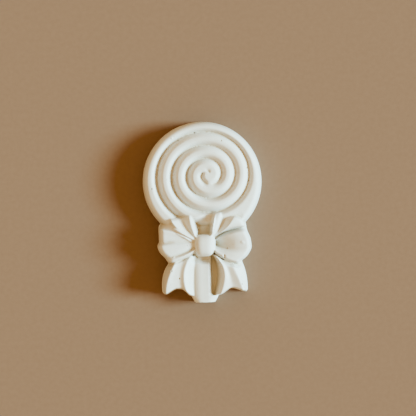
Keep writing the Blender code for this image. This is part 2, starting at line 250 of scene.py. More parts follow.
def rope_height(radius, edges, rim, top, size):
    """Height of the rope between its edges, which also rolls down to the rim on the last turn."""
    (inner, inner_height), (outer, outer_height) = edges
    width = (outer - inner).at_least(WELD) * BANK_SHARE
    inner_width = width.up_to(size["Inner bank"])
    outer_width = width.up_to(size["Outer bank"])
    inner_bank = bank_drop(radius - inner, inner_width, top - inner_height, INNER_POWER)
    outer_bank = bank_drop(outer - radius, outer_width, top - outer_height, OUTER_POWER)
    edge_roll = rim_drop(rim - radius, size["Rim flank"], size["Rope top"] - size["Rim edge height"])
    return (top - inner_bank.at_least(outer_bank)).up_to(size["Rope top"] - edge_roll)


# %% [markdown]
# The tree starts from a grid that is one unit wide and one unit long for each turn, so that a corner's
# X says how many turns it is along and its Y how far it is across the rope. Rows are set closer
# together near the groove, where the relief bends most. Set Position winds the grid up, and Merge by
# Distance closes the groove.

# %% The tree of the swirl
def swirl_tree():
    """A flat grid wound round the eye, from one turn before the groove starts to its end."""
    tree, _, size = new_tree("swirl", SWIRL)
    columns = int((GROOVE_TURNS + 1.0) * COLUMNS_PER_TURN)
    length = columns / COLUMNS_PER_TURN
    grid = tree.nodes.new("GeometryNodeMeshGrid")
    for name, value in (("Size X", length), ("Size Y", 1.0),
                        ("Vertices X", columns + 1), ("Vertices Y", ROWS_PER_ROPE + 1)):
        grid.inputs[name].default_value = value
    place = tree.nodes.new("ShaderNodeSeparateXYZ")
    tree.links.new(tree.nodes.new("GeometryNodeInputPosition").outputs[0], place.inputs[0])
    turns = Number(tree, place.outputs["X"]) + (length / 2.0 - 1.0)
    share = ((Number(tree, place.outputs["Y"]) + 0.5) * math.pi).maths("COSINE") * -0.5 + 0.5
    edges = rope_edge(turns, size), rope_edge(turns + 1.0, size)
    radius = edges[0][0] + (edges[1][0] - edges[0][0]) * share
    sinks = turns.share_between(*LAST_TURN_SINKS) - turns.share_between(*LAST_TURN_RISES)
    sunken = size["Rope top"] - (size["Rope top"] - size["Groove height"]) * sinks
    top = sunken.at_least(edges[0][1])
    height = rope_height(radius, edges, rim_radius(turns, size), top, size)
    direction = turns * FULL_TURN
    across = size["Eye across"] + radius * direction.maths("COSINE")
    up = size["Eye up"] + radius * direction.maths("SINE")
    domed = height - size["Dome"] * (across * across + up * up) / (size["Rim radius"] * size["Rim radius"])
    wound = tree.nodes.new("ShaderNodeCombineXYZ")
    for slot, number in zip(wound.inputs, (across + HEAD_MIDDLE[0], up + HEAD_MIDDLE[1], domed)):
        tree.links.new(number.socket, slot)
    wind = tree.nodes.new("GeometryNodeSetPosition")
    weld = tree.nodes.new("GeometryNodeMergeByDistance")
    weld.inputs["Distance"].default_value = WELD
    tree.links.new(grid.outputs["Mesh"], wind.inputs["Geometry"])
    tree.links.new(wound.outputs[0], wind.inputs["Position"])
    tree.links.new(wind.outputs["Geometry"], weld.inputs["Geometry"])
    end_tree(tree, weld.outputs["Geometry"], plaster)
    return tree


swirl = grow("swirl", bpy.data.meshes.new("swirl"), swirl_tree(), SWIRL)


# %% [markdown]
# The tree gives an open sheet of relief. A form that is going to be pressed together with others has
# to be closed, so every sheet gets a side wall that steps outwards and down, and a floor below the
# flat back. The wall leans, because a cast has to leave its mould. A skirt lists the wall's steps: how
# far out each lies and how high above the back. The same helper closes the head, the loops of the bow
# and the tails.

# %% Close a sheet of relief into a solid form
BELOW_BACK = -1.0
EYE_WELD = 0.3


def edge_loop(sheet):
    """The corners round the sheet's open edge, in order."""
    border = [edge for edge in sheet.edges if edge.is_boundary]
    first = border[0].verts[0]
    edge = border[0]
    corner = edge.other_vert(first)
    loop = [first]
    while corner is not first:
        loop.append(corner)
        edge = next(other for other in corner.link_edges if other.is_boundary and other is not edge)
        corner = edge.other_vert(corner)
    return loop


def closed_form(name, sheet, skirt):
    """Steps a side wall out from the sheet's edge, closes it below the back, and keeps the form."""
    ring = edge_loop(sheet)
    places = np.array([corner.co for corner in ring])
    runs = np.roll(places, -1, axis=0) - np.roll(places, 1, axis=0)
    area = np.sum(places[:, 0] * np.roll(places[:, 1], -1) - np.roll(places[:, 0], -1) * places[:, 1])
    outward = np.stack([runs[:, 1], -runs[:, 0], np.zeros(len(runs))], axis=1) * math.copysign(1.0, area)
    outward /= np.linalg.norm(outward, axis=1)[:, None]
    for offset, height in skirt + ((skirt[-1][0], BELOW_BACK),):
        wall = places + outward * offset
        wall[:, 2] = height
        lower = [sheet.verts.new(place) for place in wall]
        for index in range(len(ring)):
            after = (index + 1) % len(ring)
            sheet.faces.new((ring[index], lower[index], lower[after], ring[after]))
        ring = lower
    sheet.faces.new(ring)
    keep_form(name, sheet)


def keep_form(name, body):
    """Turns the form's faces outwards and puts it with the others."""
    bmesh.ops.recalc_face_normals(body, faces=body.faces)
    mesh = bpy.data.meshes.new(name)
    body.to_mesh(mesh)
    print(name, "has", len(body.faces), "faces and holds", round(body.calc_volume()), "cubic mm")
    body.free()
    forms.append(mesh)


head = bmesh.new()
head.from_mesh(swirl)
eye = Vector((HEAD_MIDDLE[0] + SWIRL["Eye across"], HEAD_MIDDLE[1] + SWIRL["Eye up"], SWIRL["Rope top"]))
pinched = [corner for corner in head.verts if (corner.co - eye).length < EYE_WELD]
bmesh.ops.pointmerge(head, verts=pinched, merge_co=eye)
closed_form("head", head, HEAD_SKIRT)

# %% [markdown]
# The bow is ribbon folded into fans. Every crest and every valley of a fan runs out from the knot, so
# each is written down as a spoke: three points, as an angle and a reach from the knot, and the height
# of the relief at each. The surface is lofted over the spokes. Straight lines between them would give
# paper folds and a smooth curve would give waves, and cast ribbon is between the two, so the loft
# mixes both.

# %% Spokes, and the smooth curve between them
KNOT = (0.0, -10.85)
Spoke = namedtuple("Spoke", "near middle end heights")
HUB_SHARE = 0.35
FOLD_STEPS = 8
FOLD_SOFTNESS = 0.6
STEPS_ALONG = 22
STEPS_OVER_ROLL = 8
BOW_SKIRT = ((0.30, 2.7), (0.55, 2.4), (0.65, 0.0))


def smooth_slopes(rows):
    """Slope of each column at each row, flat at a crest or a valley, so that no curve overshoots."""
    steps = np.diff(rows, axis=0)
    slopes = np.zeros_like(rows)
    before, after = steps[:-1], steps[1:]
    same_way = before * after > 0
    total = np.where(same_way, before + after, 1.0)
    slopes[1:-1] = np.where(same_way, 2.0 * before * after / total, 0.0)
    slopes[0] = steps[0]
    slopes[-1] = steps[-1]
    return slopes


def between_rows(rows, softness):
    """Adds rows between the given ones: softness 0 joins them with straight lines, 1 with curves."""
    slopes = smooth_slopes(rows)
    filled = []
    for index in range(len(rows) - 1):
        step = rows[index + 1] - rows[index]
        for way in np.arange(FOLD_STEPS) / FOLD_STEPS:
            left = 1.0 - way
            smooth = rows[index] + step * way * way * (3.0 - 2.0 * way)
            smooth = smooth + slopes[index] * way * left ** 2 - slopes[index + 1] * way * way * left
            straight = rows[index] + step * way
            filled.append(straight + (smooth - straight) * softness)
    filled.append(rows[-1])
    return np.array(filled)


# %% [markdown]
# A fold line is the parabola through its spoke's three points. Close to its end it rolls down by a
# quarter circle, as the mould's edge is round, and the line stops where the side wall begins. The
# loops also get one point nearer to the hub, which the knot hides, so that no gap is left round it.

# %% One fold line, and a fan of them
def spoke_line(spoke, roll, hub):
    """Points along a fold line: from the hub under the knot to the end, where the edge rolls down."""
    knots = []
    for (angle, reach), height in zip(spoke[:3], spoke.heights):
        across = reach * math.cos(math.radians(angle))
        up = reach * math.sin(math.radians(angle))
        knots.append(np.array((KNOT[0] + across, KNOT[1] + up, height)))
    wall = BOW_SKIRT[-1][0]
    length = float(np.linalg.norm(knots[2] - knots[0])) - wall
    roll_width, roll_drop = roll
    roll_shares = 1.0 - np.sin(np.linspace(0.0, math.pi / 2.0, STEPS_OVER_ROLL))
    shares = list(np.linspace(0.0, 1.0 - (wall + roll_width) / length, STEPS_ALONG, endpoint=False))
    shares += [1.0 - (wall + roll_width * left) / length for left in roll_shares]
    points = []
    if hub:
        middle = np.array((KNOT[0], KNOT[1], knots[0][2]))
        points.append(middle + (knots[0] - middle) * HUB_SHARE)
    for share in shares:
        point = 2.0 * (share - 0.5) * (share - 1.0) * knots[0] - 4.0 * share * (share - 1.0) * knots[1]
        point = point + 2.0 * share * (share - 0.5) * knots[2]
        into_roll = 1.0 - min(1.0, max(0.0, ((1.0 - share) * length - wall) / roll_width))
        point[2] -= roll_drop * (1.0 - math.sqrt(max(0.0, 1.0 - into_roll ** 2)))
        points.append(point)
    return np.array(points)


def fan(name, spokes, roll, hub):
    """Lofts a sheet over the spokes and closes it."""
    lines = np.array([spoke_line(spoke, roll, hub) for spoke in spokes])
    grid = between_rows(lines, 1.0)
    grid[:, :, 2] = between_rows(lines[:, :, 2], FOLD_SOFTNESS)
    sheet = bmesh.new()
    corners = [[sheet.verts.new(point) for point in line] for line in grid]
    for here, after in zip(corners, corners[1:]):
        for step in range(len(here) - 1):
            sheet.faces.new((here[step], here[step + 1], after[step + 1], after[step]))
    closed_form(name, sheet, BOW_SKIRT)


# %% [markdown]
# Each loop of the bow is a fan of four ribbons that overlap: crests where the ribbon rolls over,
# valleys where it dives under the next one, and on the left a deep notch between the upper and the
# lower pair. The outer edge of a loop rolls down to the table, because the mould's edge is round.

# %% The two loops of the bow
LEFT_ROLL = (1.6, 2.8)
RIGHT_ROLL = (1.1, 2.0)
LEFT_LOOP = (
    Spoke((119, 4.2), (107, 6.3), (109, 11.6), (7.2, 6.6, 6.6)),
    Spoke((134, 4.0), (121, 7.6), (113, 12.0), (9.6, 10.4, 9.4)),
    Spoke((142, 4.4), (134, 8.8), (129, 12.9), (8.9, 8.8, 7.8)),
    Spoke((150, 4.5), (147, 10.0), (140, 14.6), (9.6, 10.3, 10.1)),
    Spoke((153, 4.5), (149.5, 10.3), (143, 14.9), (9.5, 10.1, 5.6)),
    Spoke((156, 4.4), (153, 10.7), (152.5, 15.9), (9.3, 9.8, 5.4)),
    Spoke((158, 4.2), (156, 10.5), (158.5, 16.2), (9.0, 9.8, 6.8)),
    Spoke((160, 4.0), (158, 10.2), (161, 16.0), (9.2, 10.0, 10.0)),
    Spoke((164, 3.9), (166, 9.9), (170, 15.3), (8.9, 9.6, 9.9)),
    Spoke((168, 3.8), (174, 9.7), (177, 15.1), (8.8, 9.4, 9.3)),
    Spoke((174, 3.6), (181, 9.5), (182, 15.7), (9.1, 10.0, 10.2)),
    Spoke((188, 3.5), (191, 8.9), (189, 15.3), (9.1, 10.1, 10.3)),
    Spoke((203, 3.5), (202, 8.0), (198, 14.2), (8.6, 9.2, 9.8)),
    Spoke((212, 3.4), (209, 8.1), (204.5, 13.8), (9.6, 10.1, 10.1)),
    Spoke((226, 3.4), (221, 7.9), (212, 13.4), (7.2, 6.8, 6.4)),
)
RIGHT_LOOP = (
    Spoke((317, 4.0), (319, 8.8), (329, 14.2), (6.6, 6.4, 6.4)),
    Spoke((330, 3.8), (328, 8.9), (334, 13.9), (9.0, 9.6, 8.8)),
    Spoke((342, 4.1), (340, 9.5), (346, 15.5), (7.6, 9.6, 8.9)),
    Spoke((354, 4.3), (351, 9.6), (356, 16.3), (5.0, 8.5, 9.2)),
    Spoke((368, 4.4), (366, 9.8), (364, 16.0), (5.4, 8.8, 9.2)),
    Spoke((377, 4.2), (379, 9.7), (374, 15.4), (5.8, 9.0, 8.9)),
    Spoke((385, 4.2), (387, 9.1), (380, 15.7), (4.8, 6.5, 6.8)),
    Spoke((388, 4.4), (390.5, 9.6), (382, 15.8), (5.2, 8.8, 8.8)),
    Spoke((389, 4.5), (392.5, 9.9), (390.5, 15.9), (5.6, 9.8, 9.4)),
    Spoke((391, 4.7), (395.5, 10.1), (402, 14.4), (6.4, 10.4, 9.7)),
    Spoke((397, 4.5), (405, 8.5), (412.5, 12.5), (7.0, 8.2, 7.8)),
    Spoke((403, 4.3), (415, 8.2), (422, 12.7), (9.2, 10.1, 9.3)),
    Spoke((409, 4.2), (423.5, 8.0), (429, 11.8), (9.6, 10.5, 9.4)),
    Spoke((420, 4.2), (432, 7.8), (435, 11.6), (7.2, 6.6, 6.4)),
)
fan("left loop", LEFT_LOOP, LEFT_ROLL, True)
fan("right loop", RIGHT_LOOP, RIGHT_ROLL, True)

# %% [markdown]
# The tails are the ribbon's two ends. Each hangs down beside the stick in a shallow trough between two
# raised edges, and its end is cut to a swallow's tail, with the stick's side as its inner bank.

# %% The two tails
TAIL_ROLL = (0.5, 0.8)
LEFT_TAIL = (
    Spoke((207, 10.8), (216.5, 16.4), (230.8, 21.5), (4.8, 5.0, 4.4)),
    Spoke((207, 9.8), (222.5, 16.2), (232.3, 21.1), (9.0, 9.3, 8.2)),
    Spoke((210, 9.0), (226.5, 14.8), (238.7, 17.4), (8.7, 8.9, 8.0)),
    Spoke((214, 8.0), (231.5, 13.0), (243.5, 16.9), (8.5, 8.7, 7.9)),
    Spoke((221, 6.0), (236.0, 12.0), (251.0, 17.4), (9.0, 9.3, 8.6)),
    Spoke((225, 5.4), (239.0, 11.5), (254.5, 18.1), (8.5, 8.6, 8.0)),
    Spoke((240, 4.0), (250.5, 9.9), (260.5, 18.7), (6.4, 6.4, 6.0)),
)
RIGHT_TAIL = (
    Spoke((303, 4.0), (295.0, 10.1), (278.0, 18.2), (4.6, 4.6, 4.4)),
    Spoke((314, 5.0), (305.0, 11.6), (285.5, 18.1), (9.2, 9.5, 8.9)),
    Spoke((320, 8.6), (308.5, 13.9), (301.0, 17.6), (8.5, 8.5, 8.0)),
    Spoke((327, 10.0), (315.8, 15.4), (308.5, 20.8), (8.7, 9.1, 8.5)),
    Spoke((336, 12.6), (322.2, 16.9), (309.8, 21.5), (5.0, 5.0, 4.4)),
)
fan("left tail", LEFT_TAIL, TAIL_ROLL, False)
fan("right tail", RIGHT_TAIL, TAIL_ROLL, False)

# %% [markdown]
# The knot is a pillow of ribbon with a flattened front, a little wider on the side of the head. A cube
# with rounded edges would keep its flat sides. A sphere squared up by a power bulges everywhere, as a
# tight knot does, and one number for each direction says how square it is.

# %% The knot
KNOT_SIZE = (7.2, 7.5)
KNOT_MIDDLE = (0.3, -11.25)
KNOT_TOP = 11.0
KNOT_MIDDLE_HEIGHT = 6.0
KNOT_SQUARENESS = (3.0, 2.7, 3.0)
KNOT_TAPER = 0.08
KNOT_SEGMENTS = (96, 64)


def knot():
    body = bmesh.new()
    bmesh.ops.create_uvsphere(body, u_segments=KNOT_SEGMENTS[0], v_segments=KNOT_SEGMENTS[1], radius=1.0)
    half = (KNOT_SIZE[0] / 2.0, KNOT_SIZE[1] / 2.0, KNOT_TOP - KNOT_MIDDLE_HEIGHT)
    for corner in body.verts:
        squared = [math.copysign(abs(value) ** (2.0 / squareness), value)
                   for value, squareness in zip(corner.co, KNOT_SQUARENESS)]
        narrowing = 1.0 + KNOT_TAPER * squared[1]
        corner.co = (KNOT_MIDDLE[0] + half[0] * squared[0] * narrowing,
                     KNOT_MIDDLE[1] + half[1] * squared[1],
                     KNOT_MIDDLE_HEIGHT + half[2] * squared[2])
    keep_form("knot", body)


knot()

# %% [markdown]
# The stick is a flat bar with rounded shoulders that runs down from the knot between the tails, with a
# deep gutter between it and the right tail. It ends in a stub that is a little narrower at its tip.
# One section drawn out from ring to ring gives all of it: down to the stub its right side is cut back
# for the gutter, and the stub has the whole section.

# %% The stick and its stub
STICK_TOP = 7.2
STICK_FLAT = 1.2
STICK_LEFT = 4.0
STICK_RIGHT = 2.3
GUTTER_RIGHT = 4.0
GUTTER_HEIGHT = 4.4
SHOULDER_DROP = 1.1
SHOULDER_STEPS = 8
SIDE_LEAN = 0.2
STICK_START = -8.0
STICK_END = -30.2
STUB_START = -28.0
STUB_LENGTH = 1.75
STUB_NARROWING = 0.78


def stick_side(width, gutter):
    """One half of the section across the stick: flat top, round shoulder, side, gutter and outside."""
    side = []
    for step in range(SHOULDER_STEPS + 1):
        share = step / SHOULDER_STEPS
        side.append((STICK_FLAT + (width - STICK_FLAT) * share, STICK_TOP - SHOULDER_DROP * share ** 2))
    return side + [(width + SIDE_LEAN, GUTTER_HEIGHT), (gutter, GUTTER_HEIGHT), (gutter, BELOW_BACK)]


def stick():
    body = bmesh.new()
    whole = stick_side(STICK_LEFT, STICK_LEFT + 2.0 * SIDE_LEAN)
    cut = stick_side(STICK_RIGHT, GUTTER_RIGHT)
    rings = []
    for y, right, narrowing in ((STICK_START, cut, 1.0), (STUB_START + SIDE_LEAN, cut, 1.0),
                                (STUB_START, whole, 1.0), (STICK_END + STUB_LENGTH, whole, 1.0),
                                (STICK_END, whole, STUB_NARROWING)):
        section = [(-x, z) for x, z in reversed(whole)] + right
        rings.append([body.verts.new((x * narrowing, y, z)) for x, z in section])
    for here, after in zip(rings, rings[1:]):
        for index in range(len(here)):
            following = (index + 1) % len(here)
            body.faces.new((here[index], here[following], after[following], after[index]))
    body.faces.new(rings[0])
    body.faces.new(rings[-1])
    keep_form("stick", body)


stick()

# %% [markdown]
# Now the forms become one casting. A Boolean union would keep every seam razor sharp, and poured
# plaster has none: its creases are filled by the mix and its edges are worn by the mould. So all forms
# go into one mesh, a voxel remesh wraps them in a single even skin, and a few passes of smoothing
# round off every edge by a few tenths of a millimetre.

# %% Press the forms together and soften them
VOXEL = 0.2
SOFTENING = 0.5
SOFTENING_PASSES = 5


def pressed_together():
    heap = bmesh.new()
    for mesh in forms:
        heap.from_mesh(mesh)
    together = bpy.data.meshes.new("forms")
    heap.to_mesh(together)
    heap.free()
    host = bpy.data.objects.new("forms", together)
    bpy.context.scene.collection.objects.link(host)
    skin = host.modifiers.new("skin", "REMESH")
    skin.mode = "VOXEL"
    skin.voxel_size = VOXEL
    soften = host.modifiers.new("soften", "SMOOTH")
    soften.factor = SOFTENING
    soften.iterations = SOFTENING_PASSES
    evaluated = host.evaluated_get(bpy.context.evaluated_depsgraph_get())
    made = bpy.data.meshes.new_from_object(evaluated)
    bpy.data.objects.remove(host)
    return made


casting = pressed_together()
print("one skin of", len(casting.polygons), "faces")

# %% [markdown]
# Lifelike relief has lines that no loft gives: a thin ridge along a fold, a crease where two ribbons
# meet, a chip from an edge. They are drawn on the finished skin as strokes, the way a modelling tool
# would: every corner near a stroke's path is raised or sunk by a soft round profile. Only what faces
# up is moved, so that no wall is torn.

# %% Strokes: ridges, creases, bumps and a chip
Stroke = namedtuple("Stroke", "half_width path")
FACING_UP = (0.25, 0.75)
STROKES = (
    Stroke(0.60, ((-9.6, -5.6, 0.30), (-6.5, -7.3, 0.50), (-3.9, -8.8, 0.25))),
    Stroke(0.55, ((-8.6, -7.1, 0.15), (-6.0, -8.5, 0.45), (-3.9, -9.9, 0.25))),
    Stroke(0.50, ((-9.6, -6.3, -0.10), (-6.3, -7.9, -0.28), (-4.0, -9.3, -0.15))),
    Stroke(0.80, ((-13.6, -10.2, -0.45), (-11.6, -10.0, -0.32), (-9.4, -9.9, 0.0))),
    Stroke(0.60, ((-11.8, -14.9, -0.20), (-8.0, -14.1, -0.30), (-4.2, -12.6, -0.20))),
    Stroke(0.60, ((-10.4, -17.1, -0.30), (-7.0, -15.9, -0.45), (-3.6, -14.3, -0.60))),
    Stroke(0.80, ((-3.4, -14.4, -0.80), (-2.5, -14.9, -0.60))),
    Stroke(2.00, ((-3.0, -15.6, -1.20), (-0.5, -15.8, -1.60), (0.8, -15.8, -1.40))),
    Stroke(1.30, ((3.6, -14.8, 0.10), (4.7, -15.8, 0.70), (5.0, -17.0, 0.30))),
    Stroke(0.90, ((3.3, -13.4, -0.60), (3.2, -14.6, -0.70))),
    Stroke(1.20, ((4.2, -14.7, -0.20), (6.2, -16.3, -0.90), (8.8, -17.5, -1.50), (11.3, -18.1, -1.20))),
    Stroke(0.45, ((6.7, -14.6, -0.50), (7.0, -15.6, -0.80))),
    Stroke(0.70, ((12.7, -10.4, 0.18), (13.1, -10.6, 0.18))),
    Stroke(2.60, ((5.4, -10.9, -0.35), (7.4, -10.8, -0.25), (10.5, -11.0, 0.0))),
    Stroke(1.10, ((5.2, -8.2, -0.30), (6.6, -7.5, -0.50), (9.0, -6.6, -0.30), (11.0, -5.9, -0.10))),
    Stroke(0.55, ((14.3, -5.3, -0.30), (11.0, -5.7, -0.40), (8.6, -6.2, -0.30))),
    Stroke(2.20, ((-1.2, -3.6, -0.70), (1.0, -2.8, -1.20), (2.8, -1.6, -0.90))),
    Stroke(0.90, ((3.9, -0.8, 0.20), (3.4, -2.6, 1.00), (2.9, -4.6, 1.20), (2.7, -6.2, 0.50))),
    Stroke(0.35, ((-9.7, 24.5, 0.20), (-9.5, 24.3, 0.20))),
    Stroke(0.40, ((-10.1, -14.9, 0.22), (-9.9, -14.8, 0.22))),
)


def draw_strokes(mesh):
    """Raises or sinks the skin along every stroke."""
    places = np.empty(len(mesh.vertices) * 3)
    mesh.vertices.foreach_get("co", places)
    places = places.reshape(-1, 3)
    normals = np.empty(len(mesh.vertices) * 3)
    mesh.vertices.foreach_get("normal", normals)
    facing = np.clip((normals[2::3] - FACING_UP[0]) / (FACING_UP[1] - FACING_UP[0]), 0.0, 1.0)
    for half_width, path in STROKES:
        nearest = np.full(len(places), half_width)
        rise = np.zeros(len(places))
        for start, end in zip(np.array(path), np.array(path)[1:]):
            run = (end - start)[:2]
            share = np.clip((places[:, :2] - start[:2]) @ run / (run @ run), 0.0, 1.0)
            gap = np.linalg.norm(places[:, :2] - start[:2] - share[:, None] * run, axis=1)
            closer = gap < nearest
            nearest[closer] = gap[closer]
            rise[closer] = start[2] + (end[2] - start[2]) * share[closer]
        places[:, 2] += rise * facing * (1.0 - (nearest / half_width) ** 2) ** 2
    mesh.vertices.foreach_set("co", places.ravel())
    mesh.update()
    print(len(STROKES), "strokes drawn")


draw_strokes(casting)

# %% [markdown]
# The back is where the mould was open: the mix was levelled there, so it is dead flat with a crisp
# edge. The forms were built down to a millimetre below it, and one cut with a plane gives that edge.

# %% Slice the back flat
def slice_back(mesh):
    body = bmesh.new()
    body.from_mesh(mesh)
    everything = list(body.verts) + list(body.edges) + list(body.faces)
    bmesh.ops.bisect_plane(body, geom=everything, plane_co=(0, 0, 0), plane_no=(0, 0, 1), clear_inner=True)
    bmesh.ops.remove_doubles(body, verts=body.verts, dist=WELD)
    bmesh.ops.contextual_create(body, geom=[edge for edge in body.edges if edge.is_boundary])
    bmesh.ops.recalc_face_normals(body, faces=body.faces)
    bmesh.ops.triangulate(body, faces=body.faces)
    open_edges = sum(not edge.is_manifold for edge in body.edges)
    print("cast of", len(body.faces), "triangles,", open_edges, "open edges,",
          round(body.calc_volume()), "cubic mm")
    body.to_mesh(mesh)
    body.free()


slice_back(casting)

# %% [markdown]
# Air in the mix leaves pinholes where it meets the mould. Small bubbles are scattered over everything
# that faces up, and the few large ones sit where the photograph shows them. Geometry Nodes do both: a
# ray drops each known bubble onto the relief, seeded random points add the rest, a ball is put on every
# point, and one Mesh Boolean cuts all the balls out, so that each pinhole is a real hollow. The skin is
# thinned first, because a voxel skin spends as many faces on flat parts as on folds.

# %% Thin the skin and cut the pinholes
KEPT_SHARE = 0.7
PINHOLES = ((-2.2, 26.2), (6.7, 23.3), (0.1, 12.6), (-16.7, 7.9), (-7.6, 23.7), (15.1, 14.1), (15.3, 9.8),
            (7.8, -12.4), (-10.8, -19.4), (12.4, -24.3), (-8.3, -22.0))
BUBBLES = {
    "Known radius": 0.34,
    "Smallest radius": 0.07,
    "Largest radius": 0.17,
    "Per square mm": 0.03,
    "Flattest": 0.45,
    "Start height": 30.0,
}
BUBBLE_SEED = 7
BALL_SUBDIVISIONS = 2


def bubble_tree(places):
    """Cuts a ball out of the skin at every known place and at scattered ones."""
    tree, skin, size = new_tree("bubbles", BUBBLES)
    nodes, links = tree.nodes, tree.links
    known = nodes.new("GeometryNodeObjectInfo")
    known.inputs["Object"].default_value = places
    drop = nodes.new("GeometryNodeRaycast")
    drop.inputs["Ray Direction"].default_value = (0.0, 0.0, -1.0)
    links.new(skin, drop.inputs["Target Geometry"])
    links.new(size["Start height"].socket, drop.inputs["Ray Length"])
    landed = nodes.new("GeometryNodeSetPosition")
    links.new(known.outputs["Geometry"], landed.inputs["Geometry"])
    links.new(drop.outputs["Hit Position"], landed.inputs["Position"])
    upwards = nodes.new("ShaderNodeSeparateXYZ")
    links.new(nodes.new("GeometryNodeInputNormal").outputs[0], upwards.inputs[0])
    faces_up = Number(tree, upwards.outputs["Z"]).maths("GREATER_THAN", size["Flattest"])
    scatter = nodes.new("GeometryNodeDistributePointsOnFaces")
    scatter.inputs["Seed"].default_value = BUBBLE_SEED
    links.new(skin, scatter.inputs["Mesh"])
    links.new(faces_up.socket, scatter.inputs["Selection"])
    links.new(size["Per square mm"].socket, scatter.inputs["Density"])
    any_size = nodes.new("FunctionNodeRandomValue")
    any_size.inputs["Seed"].default_value = BUBBLE_SEED
    least, most = any_size.inputs[2:4]        # the pair for a plain number, after the pair for a vector
    links.new(size["Smallest radius"].socket, least)
    links.new(size["Largest radius"].socket, most)
    ball = nodes.new("GeometryNodeMeshIcoSphere")
    ball.inputs["Radius"].default_value = 1.0
    ball.inputs["Subdivisions"].default_value = BALL_SUBDIVISIONS
    cut = nodes.new("GeometryNodeMeshBoolean")
    cut.solver = "MANIFOLD"
    for points, radius in ((landed.outputs["Geometry"], size["Known radius"].socket),
                           (scatter.outputs["Points"], any_size.outputs[1])):
        balls = nodes.new("GeometryNodeInstanceOnPoints")
        whole = nodes.new("GeometryNodeRealizeInstances")
        links.new(points, balls.inputs["Points"])
        links.new(ball.outputs["Mesh"], balls.inputs["Instance"])
        links.new(radius, balls.inputs["Scale"])
        links.new(balls.outputs["Instances"], whole.inputs["Geometry"])
        links.new(whole.outputs["Geometry"], cut.inputs["Mesh 2"])
    links.new(skin, cut.inputs["Mesh 1"])
    end_tree(tree, cut.outputs["Mesh"], plaster)
    return tree


def thinned(mesh):
    """The same skin with fewer faces, most of them saved where it is flat."""
    host = bpy.data.objects.new("thin", mesh)
    bpy.context.scene.collection.objects.link(host)
    host.modifiers.new("thin", "DECIMATE").ratio = KEPT_SHARE
    made = bpy.data.meshes.new_from_object(host.evaluated_get(bpy.context.evaluated_depsgraph_get()))
    bpy.data.objects.remove(host)
    return made


def with_pinholes(mesh):
    points = bpy.data.meshes.new("pinhole places")
    points.from_pydata([(x, y, BUBBLES["Start height"] / 2.0) for x, y in PINHOLES], [], [])
    places = bpy.data.objects.new("pinhole places", points)
    bpy.context.scene.collection.objects.link(places)
    made = grow("pinholes", mesh, bubble_tree(places), BUBBLES)
    bpy.data.objects.remove(places)
    return made


casting = with_pinholes(thinned(casting))

# %% [markdown]
# The finish should know where it lies deep, because the grooves and recesses are painted with shade:
# a warmer, darker tan that stands in for the warm shadow in them. A small tree measures that: it blurs
# every corner's position with its neighbours', and how far the blurred place stands above the real one
# is written to the mesh as an attribute.

# %% Measure how deep each corner lies
HOLLOW = {"Blur passes": 48.0}


def hollow_tree():
    """Writes how far the blurred skin stands above every corner."""
    tree, skin, size = new_tree("hollow", HOLLOW)
    nodes, links = tree.nodes, tree.links
    place = nodes.new("GeometryNodeInputPosition")
    blur = nodes.new("GeometryNodeBlurAttribute")
    blur.data_type = "FLOAT_VECTOR"
    links.new(size["Blur passes"].socket, blur.inputs["Iterations"])
    shift = nodes.new("ShaderNodeVectorMath")
    shift.operation = "SUBTRACT"
    out = nodes.new("ShaderNodeVectorMath")
    out.operation = "DOT_PRODUCT"
    keep = nodes.new("GeometryNodeStoreNamedAttribute")
    keep.inputs["Name"].default_value = "hollow"
    links.new(place.outputs[0], blur.inputs["Value"])
    links.new(blur.outputs["Value"], shift.inputs[0])
    links.new(place.outputs[0], shift.inputs[1])
    links.new(shift.outputs[0], out.inputs[0])
    links.new(nodes.new("GeometryNodeInputNormal").outputs[0], out.inputs[1])
    links.new(skin, keep.inputs["Geometry"])
    links.new(out.outputs["Value"], keep.inputs["Value"])
    end_tree(tree, keep.outputs["Geometry"], plaster)
    return tree


casting = grow("hollow", casting, hollow_tree(), HOLLOW)
depths = np.empty(len(casting.vertices))
casting.attributes["hollow"].data.foreach_get("value", depths)
print("hollow from", round(float(depths.min()), 2), "to", round(float(depths.max()), 2), "mm,",
      len(casting.polygons), "faces")

# %% [markdown]
# The finish is matt and chalky. The mix is never quite one white: it dries in faint clouds, and it has
# grain that only shows as a slight roughness; noise on object coordinates gives both, at the scale of
# each. The grooves are painted a touch warmer and darker by their depth: that tan is painted shade.

# %% The plaster's finish
PLASTER_WHITE = (0.66, 0.655, 0.635, 1.0)
PLASTER_CLOUD = (0.63, 0.628, 0.608, 1.0)
# painted shade: the warm tan put into grooves and recesses, not a colour of the cast itself
PLASTER_PAINTED_SHADE = (0.58, 0.53, 0.45, 1.0)
PLASTER_SPECK = (0.50, 0.43, 0.33, 1.0)
HOLLOW_RANGE = (0.03, 0.24)
PAINTED_SHADE_SHARES = (0.0, 0.8)
CLOUD_LUMPS = (6.0, 3.0)
CLOUD_RANGE = (0.35, 0.65)
SPECK_SPACING = 1.6
SPECK_RANGE = (0.042, 0.07)
SPECK_SHARES = (0.5, 0.0)
CHALK_LUMPS = (1.2, 4.0)
CHALK_RANGE = (0.3, 0.7)
ROUGHNESSES = (0.66, 0.92)
SPECULAR = 0.35
WAVE_LUMPS = (1.6, 2.0)
WAVE_RELIEF = (0.10, 0.35)
GRAIN_LUMPS = (0.22, 3.0)
GRAIN_RELIEF = (0.02, 0.5)


def noise(tree, source, lumps):
    """Cloudy noise: lumps gives their size in millimetres and how much finer detail they have."""
    size_mm, detail = lumps
    node = tree.nodes.new("ShaderNodeTexNoise")
    node.inputs["Scale"].default_value = 1.0 / (size_mm * MM)
    node.inputs["Detail"].default_value = detail
    tree.links.new(source, node.inputs["Vector"])
    return node.outputs["Fac"]


